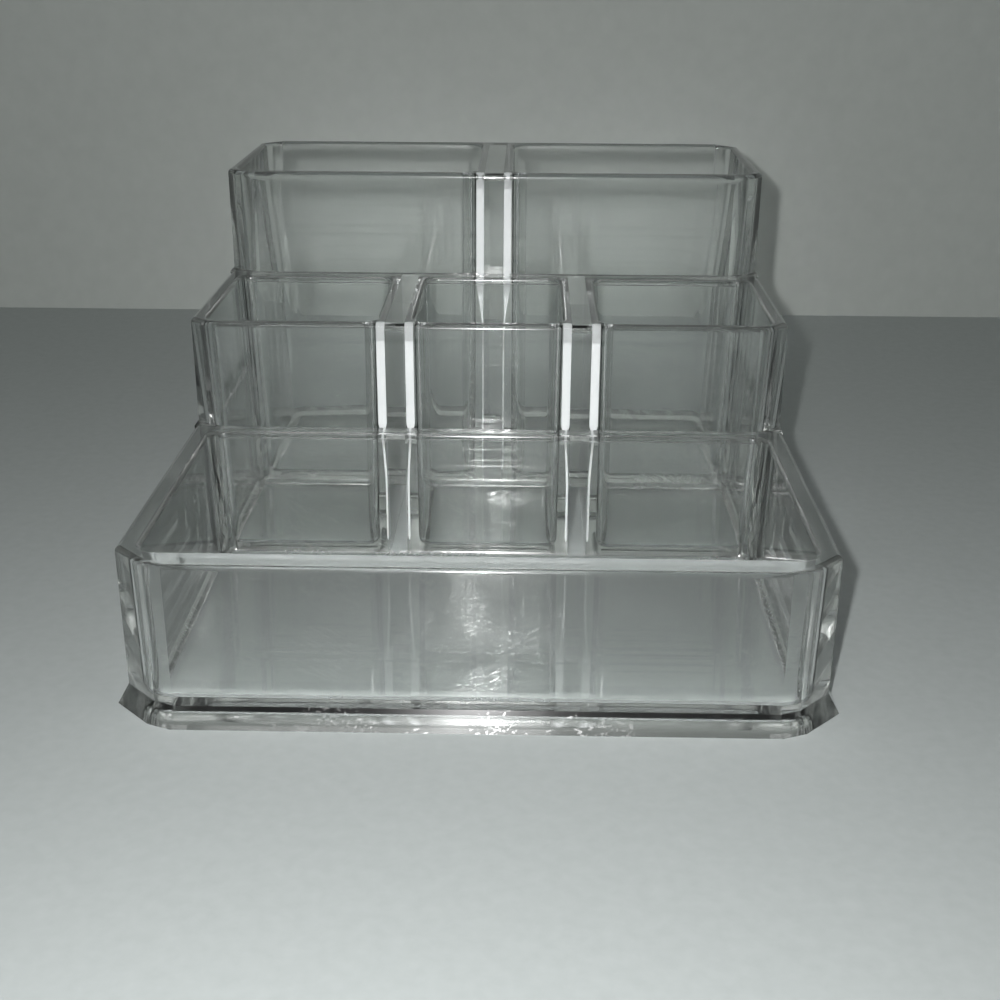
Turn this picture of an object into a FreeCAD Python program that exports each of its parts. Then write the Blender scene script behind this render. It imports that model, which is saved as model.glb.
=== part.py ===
# A clear three-tier vanity organizer: one moulding with a low tray in front,
# three cups on a middle step and two tall cups at the back. The moulding has
# no loose pieces, so each object below is one natural member of it: a tray or
# cup with its floor and four walls, or the web that closes a hollow divider.
# The frame has its origin in the middle of the underside, X to the right,
# Y to the back and Z up. Lengths are in millimetres.
import FreeCAD, Part
import os
import Sketcher

# Driving sizes
# The foot ring is the widest part, and the walls stand inside it.
sizes = {
    "overall_width": 157.0,
    "overall_depth": 208.5,
    "overall_height": 93.0,
    "foot_flare": 2.5,
    "foot_flare_height": 4.4,
    # The three steps: rim heights of the lower two, and front-to-back lengths.
    "tray_height": 37.2,
    "middle_height": 64.7,
    "tray_depth": 85.0,
    "middle_depth": 56.4,
    # Bevelled outer corners, measured along each wall.
    "tray_corner": 9.2,
    "middle_corner": 5.2,
    "back_corner": 6.0,
    "rear_corner": 6.5,
    # A small facet eases each front bevel into the front face. It starts this
    # far before the end of the bevel and runs on past it by a share of that.
    "bevel_ease": 1.8,
    "ease_run_share": 1.4142,
    # Side walls thin upwards: their inner faces lean outwards for the mould.
    "side_wall_at_floor": 6.4,
    "side_wall_at_tray_rim": 5.0,
    "side_wall_at_middle_rim": 3.9,
    "side_wall_at_back_rim": 2.7,
    # Front and rear walls, at the rim and at the floor.
    "tray_front_wall": 7.0,
    "tray_front_wall_at_floor": 8.4,
    "middle_front_wall": 3.5,
    "middle_front_wall_at_floor": 4.0,
    "back_front_wall": 4.0,
    "back_front_wall_at_floor": 4.8,
    "rear_wall": 4.5,
    "rear_wall_at_floor": 6.2,
    # Ledges behind the openings of the two lower steps. Each has a thin wall
    # next to the opening and a narrow air space behind that wall.
    "tray_ledge": 4.1,
    "middle_ledge": 5.2,
    "ledge_wall": 2.3,
    "ledge_wall_at_floor": 2.8,
    # Hollow dividers: two walls with an air space between them, closed on top
    # and at the outside by a web, and open below.
    "centre_cup_width": 37.8,
    "middle_divider_width": 9.7,
    "back_divider_width": 10.2,
    "divider_wall": 2.4,
    "divider_wall_at_floor": 2.8,
    "web_thickness": 2.4,
    "floor_thickness": 3.0,
    # Rounding of the cavities and of the rims.
    "tray_cavity_radius": 4.0,
    "middle_cavity_radius": 3.5,
    "back_cavity_radius": 4.6,
    "floor_edge_radius": 2.4,
    "rim_outer_radius": 1.3,
    "rim_inner_radius": 1.1,
    # A bevel and its facet, moved outwards by the flare, grow by these shares
    # of the flare.
    "bevel_growth_share": 0.5858,
    "ease_growth_share": 0.1522,
}

# Places that follow from the driving sizes
places = {
    "foot_side": "=overall_width / 2",
    "foot_front": "=-overall_depth / 2",
    "foot_rear": "=overall_depth / 2",
    "side_face": "=foot_side - foot_flare",
    "front_face": "=foot_front + foot_flare",
    "rear_face": "=foot_rear - foot_flare",
    "middle_face": "=front_face + tray_depth",
    "back_face": "=middle_face + middle_depth",
    "foot_tray_corner": "=tray_corner + foot_flare * bevel_growth_share",
    "foot_rear_corner": "=rear_corner + foot_flare * bevel_growth_share",
    "foot_ease": "=bevel_ease + foot_flare * ease_growth_share",
    "centre_cup_side": "=centre_cup_width / 2",
    "centre_cell_side": "=centre_cup_side + divider_wall",
    "side_cup_side": "=centre_cup_side + middle_divider_width",
    "side_cell_side": "=side_cup_side - divider_wall",
    "back_cup_side": "=back_divider_width / 2",
    "back_cell_side": "=back_cup_side - divider_wall",
    "divider_draft": "=divider_wall_at_floor - divider_wall",
    "tray_gap_face": "=middle_face - tray_ledge + ledge_wall",
    "middle_gap_face": "=back_face - middle_ledge + ledge_wall",
    "tray_web_underside": "=tray_height - web_thickness",
    "middle_web_underside": "=middle_height - web_thickness",
    "back_web_underside": "=overall_height - web_thickness",
    "gap_side": "=side_face - side_wall_at_floor",
}

doc = FreeCAD.newDocument("VanityOrganizer")
sheet = doc.addObject("Spreadsheet::Sheet", "Sizes")
for row, (word, value) in enumerate(list(sizes.items()) + list(places.items()), start=1):
    sheet.set(f"A{row}", word)
    sheet.set(f"B{row}", str(value))
    sheet.setAlias(f"B{row}", word)
doc.recompute()

# Edges are picked by where they lie, within this share of a size.
pick_share = 1e-6
pick_tolerance = sizes["overall_width"] * pick_share


# The height of the table, as an expression.
ground = "0 * foot_flare"


def size(word):
    """The number that the sheet gives for a word, also for the places."""
    return float(sheet.get(word))


def bound(text):
    """An expression written with the sheet's words, as the sheet's own names."""
    parts = text.replace("(", "( ").replace(")", " )").split()
    return " ".join(f"Sizes.{part}" if part[0].isalpha() else part for part in parts)


def eased_corner(side, front, bevel, ease):
    """A right front corner of an outline: the end of the small facet on the
    front face, the edge between facet and bevel, and the bevel's end on the
    side face."""
    return [
        (f"{side} - {bevel} - {ease} * ease_run_share", front),
        (f"{side} - {bevel} + {ease}", f"{front} + {ease}"),
        (side, f"{front} + {bevel}"),
    ]


def mirrored(corners):
    """The same outline on the other side of the middle plane."""
    return [(f"-({x})", y) for x, y in reversed(corners)]


def base_plane(body, role):
    """One of the body's own origin planes."""
    for feature in body.Origin.OriginFeatures:
        if feature.Role == role:
            return feature


def outline(body, name, corners, height):
    """A closed outline with straight sides, level at a height, with every
    corner held by two distances from the origin."""
    sketch = body.newObject("Sketcher::SketchObject", name)
    sketch.AttachmentSupport = [(base_plane(body, "XY_Plane"), "")]
    sketch.MapMode = "FlatFace"
    sketch.setExpression("AttachmentOffset.Base.z", bound(height))
    count = len(corners)
    # The sides start as a regular figure, and the distances then move them.
    start = FreeCAD.Vector(size("overall_width"), 0, 0)
    turn = FreeCAD.Rotation(FreeCAD.Vector(0, 0, 1), 360.0 / count)
    points = [start]
    for _ in range(count - 1):
        points.append(turn.multVec(points[-1]))
    for here in range(count):
        there = (here + 1) % count
        sketch.addGeometry(Part.LineSegment(points[here], points[there]))
    for here in range(count):
        there = (here + 1) % count
        sketch.addConstraint(Sketcher.Constraint("Coincident", here, 2, there, 1))
    for here, (across, along) in enumerate(corners):
        for kind, text, at in (("DistanceX", across, "x"), ("DistanceY", along, "y")):
            start_value = points[here].x if at == "x" else points[here].y
            number = sketch.addConstraint(Sketcher.Constraint(kind, here, 1, start_value))
            sketch.renameConstraint(number, f"corner_{here}_{at}")
            sketch.setExpression(f"Constraints.corner_{here}_{at}", bound(text))
    return sketch


def block(body, name, corners, bottom, top):
    """An upright block between two heights."""
    sketch = outline(body, f"{name}Outline", corners, bottom)
    pad = body.newObject("PartDesign::Pad", name)
    pad.Profile = sketch
    pad.setExpression("Length", bound(f"{top} - ({bottom})"))
    doc.recompute()
    return pad


def flared_foot(body, foot, wall):
    """The foot's slope, from the wide outline at the table up to the wall."""
    lower = outline(body, "FootLower", foot, ground)
    upper = outline(body, "FootUpper", wall, "foot_flare_height")
    slope = body.newObject("PartDesign::AdditiveLoft", "Foot")
    slope.Profile = lower
    slope.Sections = [upper]
    slope.Ruled = True
    doc.recompute()
    return slope


def air_gap(body, corners, top):
    """An air space that is open below, taken out from the underside up."""
    sketch = outline(body, "AirGapOutline", corners, ground)
    pocket = body.newObject("PartDesign::Pocket", "AirGap")
    pocket.Profile = sketch
    pocket.Reversed = True
    pocket.setExpression("Length", bound(top))
    before = body.Shape.Volume
    doc.recompute()
    if not body.Shape.Volume < before:
        raise RuntimeError("the air space took nothing away")
    return pocket


def edge_names(shape, wanted):
    """Names of the edges for which a test of the edge holds."""
    return [f"Edge{number}" for number, edge in enumerate(shape.Edges, start=1) if wanted(edge)]


def rounded(body, name, wanted, radius):
    """Rounds the edges that a test picks."""
    names = edge_names(body.Shape, wanted)
    if not names:
        raise RuntimeError(f"no edge found for {name}")
    base = body.Tip
    fillet = body.newObject("PartDesign::Fillet", name)
    fillet.Base = (base, names)
    fillet.setExpression("Radius", bound(radius))
    doc.recompute()
    return fillet


def level_face(shape, height):
    """The largest face that lies flat at a height."""
    flat = [
        face for face in shape.Faces
        if abs(face.BoundBox.ZMin - height) < pick_tolerance
        and abs(face.BoundBox.ZMax - height) < pick_tolerance
    ]
    return max(flat, key=lambda face: face.Area)


def among(edges):
    """A test that holds for the given edges."""
    return lambda edge: any(edge.isSame(other) for other in edges)


def hollow(body, rim, floor, rim_height):
    """The leaning-sided space between a floor opening and a rim opening."""
    wedge = body.newObject("PartDesign::SubtractiveWedge", "Hollow")
    wedge.AttachmentSupport = [(base_plane(body, "XZ_Plane"), "")]
    wedge.MapMode = "FlatFace"
    # On this plane the wedge's Y points up and its Z points to the front.
    left, right, front, rear = rim
    wedge.setExpression("Ymax", bound(rim_height))
    wedge.setExpression("X2min", bound(left))
    wedge.setExpression("X2max", bound(right))
    wedge.setExpression("Z2min", bound(f"-({rear})"))
    wedge.setExpression("Z2max", bound(f"-({front})"))
    left, right, front, rear = floor
    wedge.setExpression("Ymin", bound("floor_thickness"))
    wedge.setExpression("Xmin", bound(left))
    wedge.setExpression("Xmax", bound(right))
    wedge.setExpression("Zmin", bound(f"-({rear})"))
    wedge.setExpression("Zmax", bound(f"-({front})"))
    doc.recompute()
    return wedge


def cavity(body, rim, floor, rim_height, radius):
    """The hollow of a tray or cup, with rounded corners, floor edge and rim."""
    hollow(body, rim, floor, rim_height)
    bottom = size("floor_thickness")
    top = size(rim_height)
    mouth = level_face(body.Shape, top)
    mouth_corners = [
        point.Point for wire in mouth.Wires if not wire.isSame(mouth.OuterWire) for point in wire.Vertexes
    ]

    def corner(edge):
        ends = [point.Point for point in edge.Vertexes]
        reaches_floor = min(end.z for end in ends) < bottom + pick_tolerance
        return reaches_floor and any(
            end.distanceToPoint(mark) < pick_tolerance for end in ends for mark in mouth_corners
        )

    rounded(body, "HollowCorners", corner, radius)
    floor_face = level_face(body.Shape, bottom)
    rounded(body, "FloorEdge", among(floor_face.Edges), "floor_edge_radius")
    mouth = level_face(body.Shape, top)
    mouth_edges = [
        edge for wire in mouth.Wires if not wire.isSame(mouth.OuterWire) for edge in wire.Edges
    ]
    rounded(body, "RimInside", among(mouth_edges), "rim_inner_radius")


def rim_outside(body, rim_height, joints):
    """Rounds the outer top edge, but not where the next member joins on: a
    joint is an axis and a place on it."""
    top = level_face(body.Shape, size(rim_height))
    places_of_joints = [(axis, size(word) * side) for axis, word, side in joints]

    def free(edge):
        middle = edge.CenterOfMass
        return not any(abs(getattr(middle, axis) - at) < pick_tolerance for axis, at in places_of_joints)

    outer_edges = [edge for edge in top.OuterWire.Edges if free(edge)]
    rounded(body, "RimOutside", among(outer_edges), "rim_outer_radius")


def opening(left, right, front, rear):
    """A four-sided outline from its left, right, front and rear."""
    return [(left, front), (right, front), (right, rear), (left, rear)]


def mirrored_span(span):
    """A left, right, front, rear span on the other side of the middle plane."""
    left, right, front, rear = span
    return (f"-({right})", f"-({left})", front, rear)


def front_tray():
    """The low open tray across the full width, with the ledge behind it."""
    body = doc.addObject("PartDesign::Body", "front_tray")
    foot_half = eased_corner("foot_side", "foot_front", "foot_tray_corner", "foot_ease")
    foot_half.append(("foot_side", "middle_face"))
    wall_half = eased_corner("side_face", "front_face", "tray_corner", "bevel_ease")
    wall_half.append(("side_face", "middle_face"))
    foot = foot_half + mirrored(foot_half)
    wall = wall_half + mirrored(wall_half)
    flared_foot(body, foot, wall)
    block(body, "Walls", wall, ground, "tray_height")
    rim_side = "side_face - side_wall_at_tray_rim"
    floor_side = "side_face - side_wall_at_floor"
    rim = (f"-({rim_side})", rim_side, "front_face + tray_front_wall", "middle_face - tray_ledge")
    floor = (
        f"-({floor_side})", floor_side,
        "front_face + tray_front_wall_at_floor", "tray_gap_face - ledge_wall_at_floor",
    )
    cavity(body, rim, floor, "tray_height", "tray_cavity_radius")
    air_gap(body, opening("-(gap_side)", "gap_side", "tray_gap_face", "middle_face"), "tray_web_underside")
    rim_outside(body, "tray_height", [("y", "middle_face", 1)])


def middle_side_cup(name, side):
    """A cup at one end of the middle step. The side is 1 at the right and -1
    at the left."""
    body = doc.addObject("PartDesign::Body", name)
    foot = opening("side_cell_side", "foot_side", "middle_face", "back_face")
    wall = opening("side_cell_side", "side_face", "middle_face", "back_face")
    upper = [
        ("side_cell_side", "middle_face"),
        *eased_corner("side_face", "middle_face", "middle_corner", "bevel_ease"),
        ("side_face", "back_face"),
        ("side_cell_side", "back_face"),
    ]
    rim = (
        "side_cup_side", "side_face - side_wall_at_middle_rim",
        "middle_face + middle_front_wall", "back_face - middle_ledge",
    )
    floor = (
        "side_cup_side + divider_draft", "side_face - side_wall_at_floor",
        "middle_face + middle_front_wall_at_floor", "middle_gap_face - ledge_wall_at_floor",
    )
    gap = opening("side_cell_side", "gap_side", "middle_gap_face", "back_face")
    if side < 0:
        foot, wall, upper, gap = mirrored(foot), mirrored(wall), mirrored(upper), mirrored(gap)
        rim, floor = mirrored_span(rim), mirrored_span(floor)
    flared_foot(body, foot, wall)
    block(body, "LowerWalls", wall, ground, "tray_height")
    block(body, "UpperWalls", upper, "tray_height", "middle_height")
    cavity(body, rim, floor, "middle_height", "middle_cavity_radius")
    air_gap(body, gap, "middle_web_underside")
    rim_outside(body, "middle_height", [("x", "side_cell_side", side), ("y", "back_face", 1)])


def middle_centre_cup():
    """The narrow cup in the middle of the middle step."""
    body = doc.addObject("PartDesign::Body", "middle_center_cup")
    wall = opening("-(centre_cell_side)", "centre_cell_side", "middle_face", "back_face")
    rim = (
        "-(centre_cup_side)", "centre_cup_side",
        "middle_face + middle_front_wall", "back_face - middle_ledge",
    )
    floor_side = "centre_cup_side - divider_draft"
    floor = (
        f"-({floor_side})", floor_side,
        "middle_face + middle_front_wall_at_floor", "middle_gap_face - ledge_wall_at_floor",
    )
    gap = opening("-(centre_cell_side)", "centre_cell_side", "middle_gap_face", "back_face")
    block(body, "Walls", wall, ground, "middle_height")
    cavity(body, rim, floor, "middle_height", "middle_cavity_radius")
    air_gap(body, gap, "middle_web_underside")
    joints = [("x", "centre_cell_side", 1), ("x", "centre_cell_side", -1), ("y", "back_face", 1)]
    rim_outside(body, "middle_height", joints)


def back_cup(name, side):
    """A tall cup on the back step. The side is 1 at the right and -1 at the
    left."""
    body = doc.addObject("PartDesign::Body", name)
    foot = [
        ("back_cell_side", "back_face"),
        ("foot_side", "back_face"),
        ("foot_side", "foot_rear - foot_rear_corner"),
        ("foot_side - foot_rear_corner", "foot_rear"),
        ("back_cell_side", "foot_rear"),
    ]
    wall = [
        ("back_cell_side", "back_face"),
        ("side_face", "back_face"),
        ("side_face", "rear_face - rear_corner"),
        ("side_face - rear_corner", "rear_face"),
        ("back_cell_side", "rear_face"),
    ]
    upper = [
        ("back_cell_side", "back_face"),
        *eased_corner("side_face", "back_face", "back_corner", "bevel_ease"),
        ("side_face", "rear_face - rear_corner"),
        ("side_face - rear_corner", "rear_face"),
        ("back_cell_side", "rear_face"),
    ]
    rim = (
        "back_cup_side", "side_face - side_wall_at_back_rim",
        "back_face + back_front_wall", "rear_face - rear_wall",
    )
    floor = (
        "back_cup_side + divider_draft", "side_face - side_wall_at_floor",
        "back_face + back_front_wall_at_floor", "rear_face - rear_wall_at_floor",
    )
    if side < 0:
        foot, wall, upper = mirrored(foot), mirrored(wall), mirrored(upper)
        rim, floor = mirrored_span(rim), mirrored_span(floor)
    flared_foot(body, foot, wall)
    block(body, "LowerWalls", wall, ground, "middle_height")
    block(body, "UpperWalls", upper, "middle_height", "overall_height")
    cavity(body, rim, floor, "overall_height", "back_cavity_radius")
    rim_outside(body, "overall_height", [("x", "back_cell_side", side)])


def middle_divider_web(name, side):
    """Closes a hollow divider of the middle step on top and in front."""
    body = doc.addObject("PartDesign::Body", name)
    cap = opening("centre_cell_side", "side_cell_side", "middle_face", "back_face")
    strip = opening("centre_cell_side", "side_cell_side", "middle_face", "middle_face + middle_front_wall")
    if side < 0:
        cap, strip = mirrored(cap), mirrored(strip)
    block(body, "Cap", cap, "middle_web_underside", "middle_height")
    block(body, "FrontStrip", strip, "tray_web_underside", "middle_height")
    joints = [("x", "centre_cell_side", side), ("x", "side_cell_side", side), ("y", "back_face", 1)]
    rim_outside(body, "middle_height", joints)


def back_divider_web():
    """Closes the hollow divider of the back step on top, in front and behind."""
    body = doc.addObject("PartDesign::Body", "back_divider_web")
    left, right = "-(back_cell_side)", "back_cell_side"
    cap = opening(left, right, "back_face", "rear_face")
    front_strip = opening(left, right, "back_face", "back_face + back_front_wall")
    rear_strip = opening(left, right, "rear_face - rear_wall", "rear_face")
    foot = opening(left, right, "rear_face - rear_wall", "foot_rear")
    block(body, "Cap", cap, "back_web_underside", "overall_height")
    block(body, "FrontStrip", front_strip, "middle_web_underside", "overall_height")
    block(body, "RearStrip", rear_strip, ground, "overall_height")
    flared_foot(body, foot, rear_strip)
    rim_outside(body, "overall_height", [("x", "back_cell_side", 1), ("x", "back_cell_side", -1)])


front_tray()
middle_side_cup("middle_left_cup", -1)
middle_centre_cup()
middle_side_cup("middle_right_cup", 1)
back_cup("back_left_cup", -1)
back_cup("back_right_cup", 1)
middle_divider_web("middle_left_divider_web", -1)
middle_divider_web("middle_right_divider_web", 1)
back_divider_web()
doc.recompute()

# Every object must be sound before anything is written.
for thing in doc.Objects:
    if "Invalid" in thing.State or "Error" in thing.State:
        raise RuntimeError(f"{thing.Name} did not compute")
bodies = [thing for thing in doc.Objects if thing.TypeId == "PartDesign::Body"]
for body in bodies:
    body.Placement = FreeCAD.Placement()
    body.Label = body.Name
    if body.Shape.isNull() or not body.Shape.isValid() or len(body.Shape.Solids) != 1:
        raise RuntimeError(f"{body.Name} is not one sound solid")

os.makedirs("parts", exist_ok=True)
for body in bodies:
    body.Shape.exportStep(f"parts/{body.Name}.step")
    box = body.Shape.BoundBox
    print(body.Name, "volume", body.Shape.Volume)
    print("  from", box.XMin, box.YMin, box.ZMin, "to", box.XMax, box.YMax, box.ZMax)
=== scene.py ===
# %% [markdown]
# # A stepped organizer in clear plastic
# The object is one moulding of clear, hard plastic: a low tray in front, three cups behind it and
# two tall cups at the back. Its shape comes in as a finished model, in metres.
# Clear plastic shows little of itself. The eye reads it from bent light, bright rims and small
# marks of use, so most of this lesson is about what light meets on its way through the walls.

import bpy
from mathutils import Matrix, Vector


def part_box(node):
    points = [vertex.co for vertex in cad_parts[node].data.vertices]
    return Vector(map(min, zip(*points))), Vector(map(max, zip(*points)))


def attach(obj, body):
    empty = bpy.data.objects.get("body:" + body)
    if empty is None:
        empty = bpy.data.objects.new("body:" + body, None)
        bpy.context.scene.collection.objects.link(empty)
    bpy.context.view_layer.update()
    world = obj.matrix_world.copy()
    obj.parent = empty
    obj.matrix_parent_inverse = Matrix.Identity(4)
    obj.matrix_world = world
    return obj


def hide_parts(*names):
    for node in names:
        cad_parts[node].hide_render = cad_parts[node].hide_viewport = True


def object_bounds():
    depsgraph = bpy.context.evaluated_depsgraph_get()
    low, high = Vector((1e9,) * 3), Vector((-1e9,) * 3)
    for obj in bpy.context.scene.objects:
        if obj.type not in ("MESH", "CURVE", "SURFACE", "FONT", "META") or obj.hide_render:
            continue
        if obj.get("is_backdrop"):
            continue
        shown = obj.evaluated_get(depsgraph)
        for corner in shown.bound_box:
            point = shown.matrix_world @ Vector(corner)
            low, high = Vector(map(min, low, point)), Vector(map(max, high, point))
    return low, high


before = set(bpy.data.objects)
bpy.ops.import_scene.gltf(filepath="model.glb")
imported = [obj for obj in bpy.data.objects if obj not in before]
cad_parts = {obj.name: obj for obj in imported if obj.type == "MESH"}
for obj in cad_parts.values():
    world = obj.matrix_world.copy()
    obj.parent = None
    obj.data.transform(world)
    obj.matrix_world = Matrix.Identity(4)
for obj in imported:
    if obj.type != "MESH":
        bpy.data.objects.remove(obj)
cad_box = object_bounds()
print("pieces:", ", ".join(sorted(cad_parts)))

# %% Tools and units
import math

import bmesh
import bpy
import numpy as np
from mathutils import Matrix, Vector
from mathutils.bvhtree import BVHTree

MM = 0.001
scene = bpy.context.scene
print("the model in mm:", [[round(value / MM, 1) for value in corner] for corner in cad_box])

# %% [markdown]
# ## The camera
# The picture was taken by hand from close in front, a little above the tray and looking down.
# A camera can be aimed at a target, but here its three turns are known, so its axes are worked
# out from them. A short distance matters: it makes the tray wide and the back cups narrow.

# %% Aim the camera
EYE = Vector((0.0096, -0.35795, 0.158))
SWING, TIP, LEAN = (math.radians(angle) for angle in (-1.06, 22.39, -0.31))
SENSOR = 36.0
FOCAL_SHARE = 1.4
NEAREST, FARTHEST = 0.01, 50


def camera_axes(swing, tip, lean):
    """Line of sight swung sideways and tipped down; right and down are leaned about it."""
    sight = Vector((math.sin(swing) * math.cos(tip), math.cos(swing) * math.cos(tip),
                    -math.sin(tip)))
    level = Vector((math.cos(swing), -math.sin(swing), 0))
    fall = sight.cross(level)
    right = math.cos(lean) * level + math.sin(lean) * fall
    down = -math.sin(lean) * level + math.cos(lean) * fall
    return right, down, sight


right, down, sight = camera_axes(SWING, TIP, LEAN)
lens = bpy.data.cameras.new("camera")
lens.sensor_width = SENSOR
lens.lens = FOCAL_SHARE * SENSOR
lens.clip_start, lens.clip_end = NEAREST, FARTHEST
camera = bpy.data.objects.new("camera", lens)
turn = Matrix((right, -down, -sight)).transposed().to_4x4()
camera.matrix_world = Matrix.Translation(EYE) @ turn
scene.collection.objects.link(camera)
scene.camera = camera
print("line of sight:", [round(value, 3) for value in sight])

# %% [markdown]
# ## The table and the wall behind
# The organizer stands on a pale sheet, and a pale wall rises a hand's breadth behind it. Both are
# seen through the plastic, so they decide its tone. The wall could hide the part from behind, so
# its material lets light through where its back is seen.

# %% A paper finish
TABLE_TONES = (0.42, 0.45, 0.445, 1), (0.36, 0.388, 0.382, 1)
WALL_TONES = (0.475, 0.505, 0.48, 1), (0.42, 0.445, 0.424, 1)
GRAIN_DETAIL = 3
PAPER_ROUGHNESS = 0.75


def new_material(name):
    """A material with nodes; gives it, its tree and its main shader."""
    material = bpy.data.materials.new(name)
    material.use_nodes = True
    return material, material.node_tree, material.node_tree.nodes["Principled BSDF"]


def mix_tones(tree, share, tones):
    """A colour between two tones, by a share from 0 to 1."""
    tone = tree.nodes.new("ShaderNodeMix")
    tone.data_type = "RGBA"
    tone.inputs["A"].default_value, tone.inputs["B"].default_value = tones
    tree.links.new(share, tone.inputs["Factor"])
    return tone.outputs["Result"]


def paper(name, grain_size, tones):
    """Pale paper: two close tones mixed by a fine noise, with a soft roughness."""
    material, tree, shader = new_material(name)
    place = tree.nodes.new("ShaderNodeTexCoord")
    grain = tree.nodes.new("ShaderNodeTexNoise")
    grain.inputs["Scale"].default_value = 1 / grain_size
    grain.inputs["Detail"].default_value = GRAIN_DETAIL
    tree.links.new(place.outputs["Object"], grain.inputs["Vector"])
    tree.links.new(mix_tones(tree, grain.outputs["Fac"], tones), shader.inputs["Base Color"])
    shader.inputs["Roughness"].default_value = PAPER_ROUGHNESS
    return material, tree, shader


def see_from_front_only(tree, shader):
    """The back of a sheet turned clear: Backfacing picks a see-through shader there."""
    side = tree.nodes.new("ShaderNodeNewGeometry")
    clear = tree.nodes.new("ShaderNodeBsdfTransparent")
    pick = tree.nodes.new("ShaderNodeMixShader")
    tree.links.new(side.outputs["Backfacing"], pick.inputs["Fac"])
    tree.links.new(shader.outputs["BSDF"], pick.inputs[1])
    tree.links.new(clear.outputs["BSDF"], pick.inputs[2])
    tree.links.new(pick.outputs["Shader"], tree.nodes["Material Output"].inputs["Surface"])


table_paper, _, _ = paper("table_paper", 3 * MM, TABLE_TONES)
wall_paper, wall_tree, wall_shader = paper("wall_paper", 6 * MM, WALL_TONES)
see_from_front_only(wall_tree, wall_shader)
print("papers:", table_paper.name, "and", wall_paper.name)

# %% Lay the sheet and stand the wall
REACH = 12.0
LOW = -0.3 * MM
WALL_AT, WALL_TOP = 0.243, 1.6


def sheet(name, corners, material):
    """One flat face through four corners, counted so that it faces the object."""
    mesh = bpy.data.meshes.new(name)
    mesh.from_pydata(corners, [], [(0, 1, 2, 3)])
    mesh.materials.append(material)
    piece = bpy.data.objects.new(name, mesh)
    scene.collection.objects.link(piece)
    piece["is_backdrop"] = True
    return piece


turns = ((-1, -1), (1, -1), (1, 1), (-1, 1))
sheet("table", [(across * REACH, along * REACH, LOW) for across, along in turns], table_paper)
sheet("wall", [(across * REACH, WALL_AT, WALL_TOP if up > 0 else LOW) for across, up in turns],
      wall_paper)
print("the wall stands", round((WALL_AT - cad_box[1][1]) / MM), "mm behind the cups")

# %% [markdown]
# ## Light
# One small lamp beside the lens does most of the work. It gives the crisp shadow to one side, the
# glow on the tray's floor and the sparkle on the rims. A weak, soft lamp stands higher up. The
# world gives an even grey, which clear plastic needs in every direction, but it mustn't fill the
# shadow. A darker world would leave the plastic black, so Light Path tells the rays apart: the
# camera and the plastic see the world a little brighter than it lights the table.

# %% A grey world
AMBIENT, SEEN = 0.18, 0.25
WORLD_TINT = (0.96, 1.0, 0.98, 1)


def maths(tree, operation, first, second):
    """One sum: each side is a socket or a plain number."""
    node = tree.nodes.new("ShaderNodeMath")
    node.operation = operation
    for socket, value in zip(node.inputs, (first, second)):
        if isinstance(value, (int, float)):
            socket.default_value = value
        else:
            tree.links.new(value, socket)
    return node.outputs[0]


world = bpy.data.worlds.new("world")
world.use_nodes = True
sky_tree = world.node_tree
sky = sky_tree.nodes["Background"]
sky.inputs["Color"].default_value = WORLD_TINT
ray = sky_tree.nodes.new("ShaderNodeLightPath").outputs
seen = maths(sky_tree, "MAXIMUM", ray["Is Camera Ray"], ray["Is Glossy Ray"])
seen = maths(sky_tree, "MAXIMUM", seen, ray["Is Transmission Ray"])
level = sky_tree.nodes.new("ShaderNodeMapRange")
level.inputs["To Min"].default_value, level.inputs["To Max"].default_value = AMBIENT, SEEN
sky_tree.links.new(seen, level.inputs["Value"])
sky_tree.links.new(level.outputs["Result"], sky.inputs["Strength"])
scene.world = world
print("the world lights with", AMBIENT, "and is seen with", SEEN)


# %% Two lamps
def lamp(name, at, target, size, power, spread=math.pi):
    """A rectangular lamp aimed at a target, its beam held to a spread, unseen by the camera."""
    light = bpy.data.lights.new(name, "AREA")
    light.shape = "RECTANGLE"
    light.size, light.size_y = size
    light.energy = power
    light.spread = spread
    holder = bpy.data.objects.new(name, light)
    holder.location = at
    holder.rotation_euler = (Vector(target) - Vector(at)).to_track_quat("-Z", "Y").to_euler()
    holder.visible_camera = False
    scene.collection.objects.link(holder)
    print(name, "gives", power, "W from", at)


lamp("soft_lamp", (-0.06, -0.40, 0.40), (-0.03, -0.23, 0), (0.20, 0.20), 0.08, math.radians(75))
lamp("near_lamp", (-0.009, -0.363, 0.172), (0, -0.02, 0.02), (0.006, 0.010), 1.20)

# %% [markdown]
# ## Nine pieces, one plastic
# The model comes as nine pieces that touch on flat faces, but the real object is one moulding,
# and light crosses from piece to piece without noticing. Each piece's triangles are copied and
# merged first, so that flat walls are single faces and shade flat. Then the faces where two pieces
# meet are found, and later they get a finish that light passes straight through.

# %% Merge the triangles of each piece
FLAT_ANGLE = math.radians(0.05)
SAME_POINT = 0.001 * MM


def merged(node):
    """A copy of the piece with shared corners joined and flat neighbours made one face."""
    body = bmesh.new()
    body.from_mesh(node.data)
    bmesh.ops.remove_doubles(body, verts=body.verts, dist=SAME_POINT)
    bmesh.ops.dissolve_limit(body, angle_limit=FLAT_ANGLE, verts=body.verts, edges=body.edges,
                             delimit=set())
    return body


bodies = {name: merged(node) for name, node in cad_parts.items()}
trees = {name: BVHTree.FromBMesh(body) for name, body in bodies.items()}
for name, body in bodies.items():
    open_edges = sum(not edge.is_manifold for edge in body.edges)
    print(name, "has", len(body.faces), "faces, open edges:", open_edges)

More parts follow.
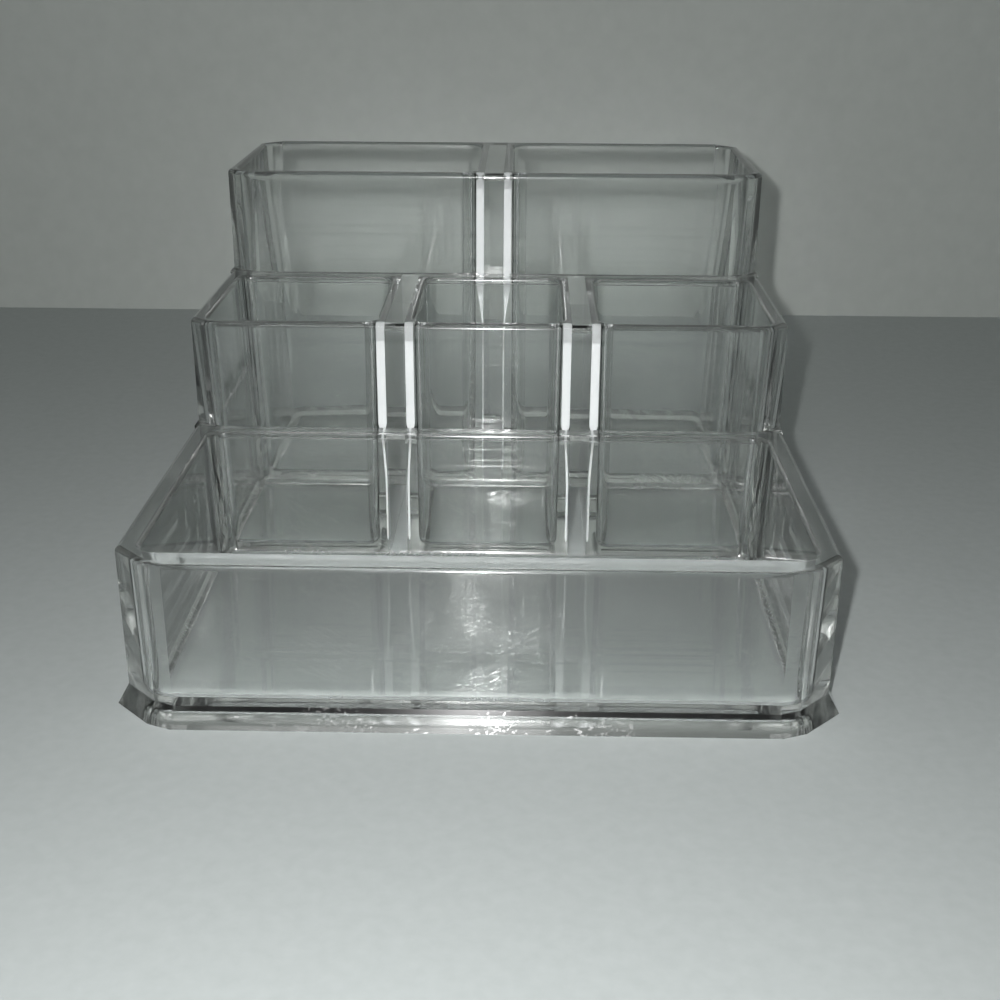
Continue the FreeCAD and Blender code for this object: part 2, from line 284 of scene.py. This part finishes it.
# %% Where the pieces meet
FLOOR_SIDE, FOOT_SIDE = 69.6 * MM, 76 * MM
tray_high, cup_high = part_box("front_tray")[1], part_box("middle_left_cup")[1]
web_low, web_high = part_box("middle_right_divider_web")
back_web_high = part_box("back_divider_web")[1]
web_edges = [web_low[0], web_high[0], back_web_high[0]]
# Axis 0 runs across, axis 1 from front to back, and axis 2 up. The outlines are the edges of the
# walls, floors, ledges and rims that may lie against another piece.
JOINT_PLANES = [(1, tray_high[1]), (1, cup_high[1])]
JOINT_PLANES += [(0, side * edge) for side in (-1, 1) for edge in web_edges]
OUTLINES = {
    0: [side * edge for side in (-1, 1) for edge in web_edges + [FLOOR_SIDE, FOOT_SIDE]],
    1: [edge * MM for edge in (-18.55, -16.75, -13.25, 36.75, 39.65, 43.65, 97.25, 101.75)],
    2: [edge * MM for edge in (4.4, 34.8, 37.2, 62.3, 64.7, 90.6)],
}
print("joint planes in mm:", [(axis, round(at / MM, 2)) for axis, at in JOINT_PLANES])

# %% Mark the joint faces
IN_PLANE, ON_CUT = 0.002 * MM, 0.0001 * MM
ASIDE = 0.05 * MM
SKEW = Vector((0.123, 0.271, 0.9547)).normalized()
MOST_CROSSINGS = 64


def faces_in_plane(body, axis, at):
    """The faces whose corners all lie in the plane."""
    return [face for face in body.faces
            if all(abs(corner.co[axis] - at) < IN_PLANE for corner in face.verts)]


def split_in_plane(body, axis, at, outlines):
    """Cut the faces in a plane along the outlines of whatever may lie against them."""
    for other, places in outlines.items():
        normal = Vector([float(turn == other) for turn in range(3)])
        for place in places if other != axis else []:
            faces = faces_in_plane(body, axis, at)
            parts = {edge for face in faces for edge in face.edges}
            parts |= {corner for face in faces for corner in face.verts}
            bmesh.ops.bisect_plane(body, geom=faces + list(parts), dist=ON_CUT,
                                   plane_co=normal * place, plane_no=normal)


def inside(tree, point):
    """A point is inside a closed body if a ray from it crosses the skin an odd number of times."""
    crossings = 0
    hit = tree.ray_cast(point, SKEW)
    while hit[0] is not None and crossings < MOST_CROSSINGS:
        crossings += 1
        hit = tree.ray_cast(hit[0] + SKEW * ON_CUT, SKEW)
    return crossings % 2 == 1


def mark_joints(name, body):
    """Give the second material to each face with another piece's plastic right in front of it."""
    marked = 0
    for axis, at in JOINT_PLANES:
        if faces_in_plane(body, axis, at):
            split_in_plane(body, axis, at, OUTLINES)
        for face in faces_in_plane(body, axis, at):
            beyond = face.calc_center_median() + face.normal * ASIDE
            if any(inside(tree, beyond) for other, tree in trees.items() if other != name):
                face.material_index = 1
                marked += 1
    return marked


for name, body in bodies.items():
    print(name, "meets its neighbours on", mark_joints(name, body), "faces")

# %% [markdown]
# ## What stands on the table
# Light that enters an upright wall runs too flat inside it to leave by its underside. It is
# mirrored up again, so the table stays dark under the walls and under the foot, while light from
# above reaches it through the floors. The underside of a piece is one face, so it is cut along the
# floors' edges, and each part gets a number, under_wall, which the finish reads later.

# %% Mark the underside of the walls
FLOOR_FRONT, FLOOR_REAR = -93.35 * MM, 95.55 * MM
# The floors' edges, and those of the air spaces, as seen from below.
UNDERSIDE = {
    0: OUTLINES[0] + [side * edge * MM for side in (-1, 1) for edge in (5.5, 18.5, 29.0)],
    1: OUTLINES[1] + [FLOOR_FRONT, FLOOR_REAR]
    + [edge * MM for edge in (-21.35, -12.75, 33.95, 44.45)],
}
WALL_TEST = Vector((0, 0, 8 * MM))


def mark_underside(name, body):
    """Cut the underside along the floors' edges; under_wall is 1 below a wall or the foot."""
    layer = body.faces.layers.float.new("under_wall")
    split_in_plane(body, 2, 0.0, UNDERSIDE)
    for face in faces_in_plane(body, 2, 0.0):
        spot = face.calc_center_median()
        outside = abs(spot.x) > FLOOR_SIDE or not FLOOR_FRONT < spot.y < FLOOR_REAR
        face[layer] = float(outside or inside(trees[name], spot + WALL_TEST))
    return sum(face.calc_area() * face[layer] for face in body.faces)


for name, body in bodies.items():
    print(name, "stands on", round(mark_underside(name, body) / MM ** 2), "square mm of wall")

# %% [markdown]
# ## What the surface carries
# Polished plastic is never quite plain. It cooled in the mould, so its walls are a little wavy.
# Hands left fine scratches and faint smudges, and the rounded rims are a touch duller than the
# walls. Each effect is a small node group, built once, which any finish can use with its own
# numbers. A rim is known by its shape: its faces are long and very narrow.

# %% Slow waves from the mould
WAVE_SCALE = 40.0
WAVE_STRETCH = (0.7, 0.7, 1.7)


def new_group(name, inputs, outputs):
    """An empty shader group with a place to read from and named inputs and outputs."""
    group = bpy.data.node_groups.new(name, "ShaderNodeTree")
    group.interface.new_socket("Place", in_out="INPUT", socket_type="NodeSocketVector")
    for label, value in inputs.items():
        socket = group.interface.new_socket(label, in_out="INPUT", socket_type="NodeSocketFloat")
        socket.default_value = value
    for label in outputs:
        group.interface.new_socket(label, in_out="OUTPUT", socket_type="NodeSocketFloat")
    given = group.nodes.new("NodeGroupInput").outputs
    result = group.nodes.new("NodeGroupOutput").inputs
    return group, given, result


def noise(tree, place, scale, detail=0.0, lengthen=(1, 1, 1), turn=(0, 0, 0)):
    """Cloudy noise, drawn out along its three turned axes; scale is a number or a socket."""
    mapping = tree.nodes.new("ShaderNodeMapping")
    mapping.vector_type = "TEXTURE"
    mapping.inputs["Rotation"].default_value = turn
    mapping.inputs["Scale"].default_value = lengthen
    cloud = tree.nodes.new("ShaderNodeTexNoise")
    cloud.inputs["Detail"].default_value = detail
    tree.links.new(place, mapping.inputs["Vector"])
    tree.links.new(mapping.outputs["Vector"], cloud.inputs["Vector"])
    if isinstance(scale, (int, float)):
        cloud.inputs["Scale"].default_value = scale
    else:
        tree.links.new(scale, cloud.inputs["Scale"])
    return cloud.outputs["Fac"]


waves, given, result = new_group("mould_waves", {"Scale": WAVE_SCALE}, ["Height"])
swell = noise(waves, given["Place"], given["Scale"], lengthen=WAVE_STRETCH)
waves.links.new(swell, result["Height"])
print("waves about", round(1 / WAVE_SCALE / MM), "mm long")

# %% Scratches and smudges
HAIR_SCALE, HAIR_STRETCH, CREST = 1800.0, (60, 1, 1), 0.70
HAIR_TURNS = (0.0, 0.5, 0.15), (0.3, -0.2, 1.0)
CLOUD_SCALE, CLOUD_DETAIL = 55.0, 1.0
SCRATCHED_BELOW, SMUDGED_ABOVE, SMUDGE_GAIN = 0.46, 0.5, 4.0
marks, given, result = new_group("handling_marks", {"Scratches": 0.5, "Smudges": 0.5},
                                 ["Scratch", "Smudge"])


def scratch_set(place, turn):
    """Hair-thin lines: noise drawn out sixtyfold along one direction, kept only at its crests."""
    lines = noise(marks, place, HAIR_SCALE, lengthen=HAIR_STRETCH, turn=turn)
    return maths(marks, "GREATER_THAN", lines, CREST)


cloud = noise(marks, given["Place"], CLOUD_SCALE, CLOUD_DETAIL)
hairs = maths(marks, "MAXIMUM", *(scratch_set(given["Place"], turn) for turn in HAIR_TURNS))
hairs = maths(marks, "MULTIPLY", hairs, maths(marks, "LESS_THAN", cloud, SCRATCHED_BELOW))
marks.links.new(maths(marks, "MULTIPLY", hairs, given["Scratches"]), result["Scratch"])
patches = maths(marks, "MULTIPLY", maths(marks, "SUBTRACT", cloud, SMUDGED_ABOVE), SMUDGE_GAIN)
patches = maths(marks, "MAXIMUM", patches, 0.0)
marks.links.new(maths(marks, "MULTIPLY", patches, given["Smudges"]), result["Smudge"])
print("the noise under the scratches is", round(1 / HAIR_SCALE / MM, 2), "mm fine")

# %% Duller rims
UNEVEN_SCALE = 260.0


def face_value(tree, label):
    """A number that was stored on the faces, such as rounding."""
    node = tree.nodes.new("ShaderNodeAttribute")
    node.attribute_name = label
    return node.outputs["Fac"]


rims, given, result = new_group("rim_wear", {"Wear": 0.5}, ["Dull"])
worn = maths(rims, "MULTIPLY", face_value(rims, "rounding"),
             noise(rims, given["Place"], UNEVEN_SCALE))
rims.links.new(maths(rims, "MULTIPLY", worn, given["Wear"]), result["Dull"])
print("groups:", [group.name for group in (waves, marks, rims)])

# %% Numbers stored on the faces
NARROW, NARROW_START = 0.9 * MM, 1.4
FOOT_LOW, FOOT_HIGH = 0.1 * MM, 4.3 * MM
FOOT_SLOPES = 0.2, 0.8


def read(items, label, per_item=1, kind=float):
    """One value, or one row of values, for each item of a mesh."""
    values = np.empty(len(items) * per_item, kind)
    items.foreach_get(label, values)
    return values.reshape(-1, per_item) if per_item > 1 else values


def note_faces(mesh):
    """Store three numbers on each face, and count the narrow faces and the foot's.

    Rounding nears 1 on narrow faces: a face's width is twice its area over its edges' length all
    round, so a long thin face is narrow. Satin is 1 on the flared foot's sloping sides. Rim_top is
    the height of the piece's highest point.
    """
    points, ends = read(mesh.vertices, "co", 3), read(mesh.edges, "vertices", 2, int)
    length = np.linalg.norm(points[ends[:, 0]] - points[ends[:, 1]], axis=1)
    length_in_turn = length[read(mesh.loops, "edge_index", kind=int)]
    around = np.add.reduceat(length_in_turn, read(mesh.polygons, "loop_start", kind=int))
    width = 2 * read(mesh.polygons, "area") / around
    narrow = np.clip(NARROW_START - width / NARROW, 0, 1)
    height = read(mesh.polygons, "center", 3)[:, 2]
    slope = read(mesh.polygons, "normal", 3)[:, 2]
    satin = (height > FOOT_LOW) & (height < FOOT_HIGH)
    satin &= (slope > FOOT_SLOPES[0]) & (slope < FOOT_SLOPES[1])
    rim_top = np.full(len(height), points[:, 2].max())
    for label, values in (("rounding", narrow), ("satin", satin), ("rim_top", rim_top)):
        layer = mesh.attributes.new(label, "FLOAT", "FACE")
        layer.data.foreach_set("value", values.astype(np.float32))
    return int((narrow > 0.5).sum()), int(satin.sum())


print("a face counts as narrow below", round((NARROW_START - 0.5) * NARROW / MM, 2), "mm")

# %% [markdown]
# ## Clear plastic
# A clear solid needs a full transmission, a sharp surface and the bending power of the plastic,
# close to the 1.59 of styrene. Its colour is almost white with a breath of green, because the light
# crosses many walls and each one takes a little. A thin film from handling lies on top. It shows as
# a soft highlight and is strongest on the rounded edges. The finish differs by place: the tray is
# handled most, the cups less, and the webs between them hardly at all. Where two pieces meet, the
# finish is empty.
# The renderer doesn't follow a lamp's light through bent surfaces, and would draw the shadow of a
# solid block. So for shadow rays, told apart by Light Path, Alpha is low and the light goes on
# through the walls. Less goes on where the real plastic bends it away: at a glancing angle, at
# rounded edges, in a collar just under each rim, and at the underside of the walls.

# %% How much each effect does
BENDING = 1.57
CLEAR_TONES = (0.962, 0.974, 0.966, 1), (0.86, 0.88, 0.87, 1)
CLOUDING = {"Smudge": 0.12, "Dull": 0.5}
ROUGHENING = {"Scratch": 0.25, "Smudge": 0.03, "Dull": 0.16, "satin": 0.09}
THIN_FILM, FILM = 0.06, {"Smudge": 0.15, "satin": 0.05, "rounding": 0.5}
FILM_ROUGHNESS = 0.15
WAVE_HEIGHT = 0.010 * MM
SHADOW_CLEAR = 0.90
LOST = {"glance": 2.2, "rounding": 0.6, "under_wall": 0.6, "collar": 0.60}
COLLAR = 3.8 * MM


def weighed(tree, effects, shares, start=0.0):
    """Start, plus each effect times its share."""
    total = start
    for label, share in shares.items():
        total = maths(tree, "ADD", maths(tree, "MULTIPLY", effects[label], share), total)
    return total


mirrored = ((BENDING - 1) / (BENDING + 1)) ** 2
let_through = SHADOW_CLEAR - LOST["glance"] * mirrored
print("met head-on, a plain face lets", round(let_through, 2), "of a lamp's light through")


# %% The finish as a recipe
def use_group(tree, group, place, **values):
    """Place a shared effect in a finish, with its own numbers."""
    node = tree.nodes.new("ShaderNodeGroup")
    node.node_tree = group
    tree.links.new(place, node.inputs["Place"])
    for label, value in values.items():
        node.inputs[label].default_value = value
    return node.outputs


def lamp_light_lost(tree, effects, place):
    """Alpha: 1, but for shadow rays less by what the face lets through."""
    glance = tree.nodes.new("ShaderNodeFresnel")
    glance.inputs["IOR"].default_value = BENDING
    spot = tree.nodes.new("ShaderNodeSeparateXYZ")
    tree.links.new(place, spot.inputs[0])
    collar_from = maths(tree, "SUBTRACT", face_value(tree, "rim_top"), COLLAR)
    effects["glance"] = glance.outputs["Fac"]
    effects["collar"] = maths(tree, "GREATER_THAN", spot.outputs["Z"], collar_from)
    lost = weighed(tree, effects, LOST)
    passed = maths(tree, "MAXIMUM", maths(tree, "SUBTRACT", SHADOW_CLEAR, lost), 0.0)
    shadow_ray = tree.nodes.new("ShaderNodeLightPath").outputs["Is Shadow Ray"]
    return maths(tree, "SUBTRACT", 1.0, maths(tree, "MULTIPLY", shadow_ray, passed))


def clear_plastic(name, wave_scale, scratches, smudges, wear):
    """Glass-like shader; marks and wear cloud and dull it, and the waves tilt its face."""
    material, tree, shader = new_material(name)
    place = tree.nodes.new("ShaderNodeTexCoord").outputs["Object"]
    mark = use_group(tree, marks, place, Scratches=scratches, Smudges=smudges)
    effects = {label: mark[label] for label in ("Scratch", "Smudge")}
    effects["Dull"] = use_group(tree, rims, place, Wear=wear)["Dull"]
    for label in ("satin", "rounding", "under_wall"):
        effects[label] = face_value(tree, label)
    bump = tree.nodes.new("ShaderNodeBump")
    bump.inputs["Strength"].default_value = 1.0
    bump.inputs["Distance"].default_value = WAVE_HEIGHT
    tree.links.new(use_group(tree, waves, place, Scale=wave_scale)["Height"], bump.inputs["Height"])
    for socket, value in {
        "Base Color": mix_tones(tree, weighed(tree, effects, CLOUDING), CLEAR_TONES),
        "Roughness": weighed(tree, effects, ROUGHENING),
        "Coat Weight": weighed(tree, effects, FILM, THIN_FILM),
        "Normal": bump.outputs["Normal"],
        "Alpha": lamp_light_lost(tree, effects, place),
    }.items():
        tree.links.new(value, shader.inputs[socket])
    shader.inputs["Coat Roughness"].default_value = FILM_ROUGHNESS
    shader.inputs["IOR"].default_value = BENDING
    shader.inputs["Transmission Weight"].default_value = 1.0
    return material


# %% Mix the finishes
TRAY_FINISH = clear_plastic("clear_tray", wave_scale=38, scratches=0.7, smudges=0.8, wear=0.35)
CUP_FINISH = clear_plastic("clear_cups", wave_scale=46, scratches=0.5, smudges=0.5, wear=0.3)
WEB_FINISH = clear_plastic("clear_webs", wave_scale=60, scratches=0.2, smudges=0.3, wear=0.2)
JOINT_FINISH, _, joint_shader = new_material("joint_face")
joint_shader.inputs["Alpha"].default_value = 0.0
finishes = TRAY_FINISH, CUP_FINISH, WEB_FINISH, JOINT_FINISH
print("finishes:", [material.name for material in finishes])

# %% Dress each piece
CREASE = math.radians(16)
LARGE_FACES_FIRST = 100


def finish_of(name):
    """The finish by where the piece is."""
    if name == "front_tray":
        return TRAY_FINISH
    return WEB_FINISH if name.endswith("web") else CUP_FINISH


def dress(name, body):
    """Make the merged copy a piece: flat walls stay flat, and only rounded faces shade round."""
    mesh = bpy.data.meshes.new(name + "_skin")
    body.to_mesh(mesh)
    mesh.materials.append(finish_of(name))
    mesh.materials.append(JOINT_FINISH)
    rims_found, foot_found = note_faces(mesh)
    mesh.shade_smooth()
    mesh.set_sharp_from_angle(angle=CREASE)
    piece = bpy.data.objects.new(name + "_skin", mesh)
    scene.collection.objects.link(piece)
    flatten = piece.modifiers.new("flat_walls", "WEIGHTED_NORMAL")
    flatten.mode = "FACE_AREA"
    flatten.weight = LARGE_FACES_FIRST
    flatten.keep_sharp = True
    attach(piece, "root")
    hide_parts(name)
    print(piece.name, "has", rims_found, "rounded faces and", foot_found, "foot faces")


for name, body in bodies.items():
    dress(name, body)

# %% [markdown]
# ## The bright ends of the walls
# Each divider is a pair of thin walls with air between them. A wall carries light along its
# length as a glass fibre does, and where it runs into the front panel that light comes out, so its
# end looks like a white strip. Even studio light hardly shows this, so that light is painted: each
# wall end gets a thin white core that glows of its own, a flat oval carried up the wall. Above
# the step in front it is as wide as the wall, and below it draws in to a bright thread along the
# air gap.

# %% A flat oval carried up a wall
ROUND, STEPS = 16, 96
DRIFT = 18.0
CLEAR_SIDE, CORE_BEHIND, CORE_HALF = 0.1, 0.12, 0.1
CAP_BELOW, CAP_ABOVE, SMALLEST_CAP = 1.2, 0.3, 0.0004


def smooth_step(value, low, high):
    """0 below low, 1 above high, and 3 t squared less 2 t cubed between them."""
    share = np.clip((value - low) / (high - low), 0, 1)
    return share * share * (3 - 2 * share)


def strip_from_rings(name, points):
    """Join each ring to the next with four-sided faces, and close both ends with one face each."""
    ring, turn = np.meshgrid(np.arange(STEPS - 1), np.arange(ROUND), indexing="ij")
    near, far = ring * ROUND + turn, ring * ROUND + (turn + 1) % ROUND
    faces = np.stack([near, far, far + ROUND, near + ROUND], axis=-1).reshape(-1, 4).tolist()
    faces.append(list(range(ROUND))[::-1])
    faces.append(list(range((STEPS - 1) * ROUND, STEPS * ROUND)))
    mesh = bpy.data.meshes.new(name)
    mesh.from_pydata(points.tolist(), [], faces)
    mesh.shade_smooth()
    piece = bpy.data.objects.new(name, mesh)
    scene.collection.objects.link(piece)
    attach(piece, "root")
    return piece


def wall_core(name, gap_side, cup_side, front, bottom, shoulder, top, thread, taper):
    """Grid of an oval against height, in mm.

    The oval is cos and sin of its angle, as wide as the strip and 0.2 mm thick. The strip's width
    goes from the thread's to the wall's by a smooth step over the taper, its middle drifts from the
    gap side by a longer one, and both ends shrink like the end of a pill.
    """
    level = bottom + (top - bottom) * np.linspace(0, 1, STEPS)
    full = abs(cup_side - gap_side) - 2 * CLEAR_SIDE
    width = thread + (full - thread) * smooth_step(level, shoulder - taper, shoulder)
    drift = (full - thread) / 2 * smooth_step(level, shoulder - DRIFT, shoulder)
    to_the_end = np.minimum((level - bottom) / CAP_BELOW, (top - level) / CAP_ABOVE)
    cap = np.sqrt(np.clip(to_the_end, SMALLEST_CAP, 1))
    centre = gap_side + np.sign(cup_side - gap_side) * (CLEAR_SIDE + thread / 2 + drift)
    angle = np.linspace(0, 2 * np.pi, ROUND, endpoint=False)
    across = centre[:, None] + 0.5 * (width * cap)[:, None] * np.cos(angle)
    depth = front + CORE_BEHIND + CORE_HALF * cap[:, None] * np.sin(angle)
    height = np.broadcast_to(level[:, None], across.shape)
    points = np.stack([across, depth, height], axis=-1) * MM
    return strip_from_rings(name, points.reshape(-1, 3))


print("a core is", 2 * CORE_HALF, "mm thick and lies", CORE_BEHIND, "mm behind the panel's face")

# %% A painted glow
# Painted light: the white tones and the glow stand in for the light a wall carries to its end.
GLOW_PAINT_TONES = (0.66, 0.68, 0.68, 1), (0.54, 0.56, 0.57, 1)
GLOW_PAINT_SCALE, GLOW_PAINT_DETAIL, GLOW_PAINT_STRETCH = 300.0, 2.0, (1, 1, 3)
PAINTED_GLOW_STRENGTH, GLOW_PAINT_ROUGHNESS = 0.2, 0.6


def painted_glow(name):
    """Painted light: a soft white, a little uneven, that glows faintly though it is no lamp."""
    material, tree, shader = new_material(name)
    place = tree.nodes.new("ShaderNodeTexCoord").outputs["Object"]
    cloud = noise(tree, place, GLOW_PAINT_SCALE, GLOW_PAINT_DETAIL, GLOW_PAINT_STRETCH)
    tone = mix_tones(tree, cloud, GLOW_PAINT_TONES)
    tree.links.new(tone, shader.inputs["Base Color"])
    tree.links.new(tone, shader.inputs["Emission Color"])
    shader.inputs["Emission Strength"].default_value = PAINTED_GLOW_STRENGTH
    shader.inputs["Roughness"].default_value = GLOW_PAINT_ROUGHNESS
    return material


PAINTED_WALL_GLOW = painted_glow("painted_glow_wall_end")
print("finish:", PAINTED_WALL_GLOW.name)

# %% Light the six wall ends
MIDDLE_RISE = {"front": -13.25, "bottom": 5.0, "shoulder": 37.8, "top": 63.6,
               "thread": 0.6, "taper": 3.5}
BACK_RISE = {"front": 43.65, "bottom": 6.0, "shoulder": 62.8, "top": 91.6,
             "thread": 0.45, "taper": 12.5}


def light_wall_end(name, gap_side, cup_side, rise):
    """Stand a core of painted glow in a wall of a cup."""
    piece = wall_core(name, gap_side, cup_side, **rise)
    piece.data.materials.append(PAINTED_WALL_GLOW)


for side, label in ((-1, "left"), (1, "right")):
    light_wall_end(f"middle_{label}_inner_wall_core", side * 21.3, side * 18.9, MIDDLE_RISE)
    light_wall_end(f"middle_{label}_outer_wall_core", side * 26.2, side * 28.6, MIDDLE_RISE)
    light_wall_end(f"back_{label}_wall_core", side * 2.7, side * 5.1, BACK_RISE)
    print(label, "wall ends done")

# %% [markdown]
# ## Let the light through
# A ray that enters at the front may cross twenty surfaces before it leaves at the back. With
# the usual number of bounces it would stop half way and leave black patches, so more are allowed.
# The view transform is the plain one, so a colour shows as it is written.

# %% Bounces and the plain view
scene.cycles.max_bounces = 28
scene.cycles.transmission_bounces = 28
scene.cycles.glossy_bounces = 10
scene.cycles.transparent_max_bounces = 32
scene.view_settings.view_transform = "Standard"
print("bounces:", scene.cycles.max_bounces, "- view:", scene.view_settings.view_transform)

# %% Measure and finish
boxes = [[list(corner) for corner in box] for box in (cad_box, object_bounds())]
in_mm = [[[round(value / MM, 2) for value in corner] for corner in box] for box in boxes]
print("model and finished piece in mm:", in_mm)
